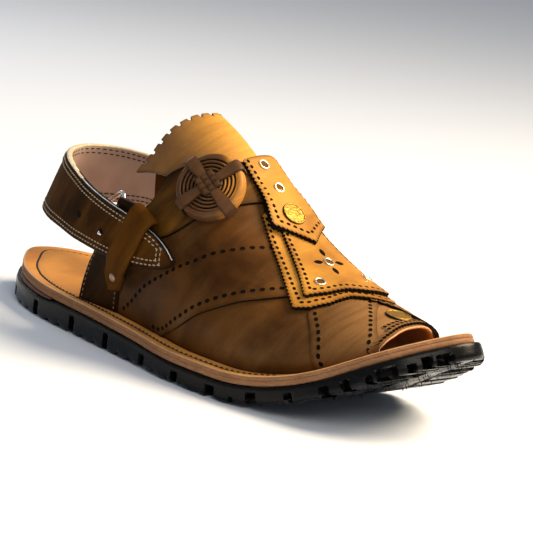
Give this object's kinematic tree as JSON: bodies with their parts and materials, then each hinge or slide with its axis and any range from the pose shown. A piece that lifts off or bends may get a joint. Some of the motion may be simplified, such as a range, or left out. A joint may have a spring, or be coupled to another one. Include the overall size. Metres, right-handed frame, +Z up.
{
  "type": "balochi sandal",
  "caption": "Open-toe leather sandal on a thick tyre-rubber sole, with closed forefoot, fan tongue, coiled medallion, stacked front panels and buckled heel strap.",
  "frame": {"origin": "middle of the sole's footprint on the floor", "axes": "+X towards the toe, +Y towards the inner side of the foot, +Z up"},
  "size_m": [0.3032, 0.1042, 0.1177],
  "materials": {
    "rubber": "moulded tyre rubber, slightly glossy",
    "lift": "red-brown cut edge",
    "sole_leather": "pale cut edge",
    "insole": "smooth tan, stitched round the edge",
    "upper_leather": "waxed brown, pulled up lighter where it bends",
    "panel_leather": "waxed golden brown",
    "strap_leather": "waxed brown, pale lining",
    "eyelet_metal": "plated, pale",
    "chrome": "polished",
    "brass": "satin"
  },
  "bodies": {
    "root": {"outsole": "rubber", "heel_lift": "lift", "midsole": "sole_leather", "insole": "insole", "upper": "upper_leather", "tongue": "upper_leather", "cross_band": "upper_leather", "panel_lower": "panel_leather", "panel_middle": "panel_leather", "flap": "panel_leather", "medallion": "upper_leather", "medallion_straps": "upper_leather", "heel_strap": "strap_leather", "ear_outer": "upper_leather", "ear_inner": "upper_leather", "keeper": "upper_leather", "ear_rivet": "eyelet_metal", "buckle": "chrome", "toe_badge": "brass", "flap_badge": "brass", "eyelet_flap_rear": "eyelet_metal", "eyelet_flap_front": "eyelet_metal", "eyelet_middle": "eyelet_metal", "eyelet_outer": "eyelet_metal", "eyelet_inner": "eyelet_metal"}
  },
  "joints": []
}
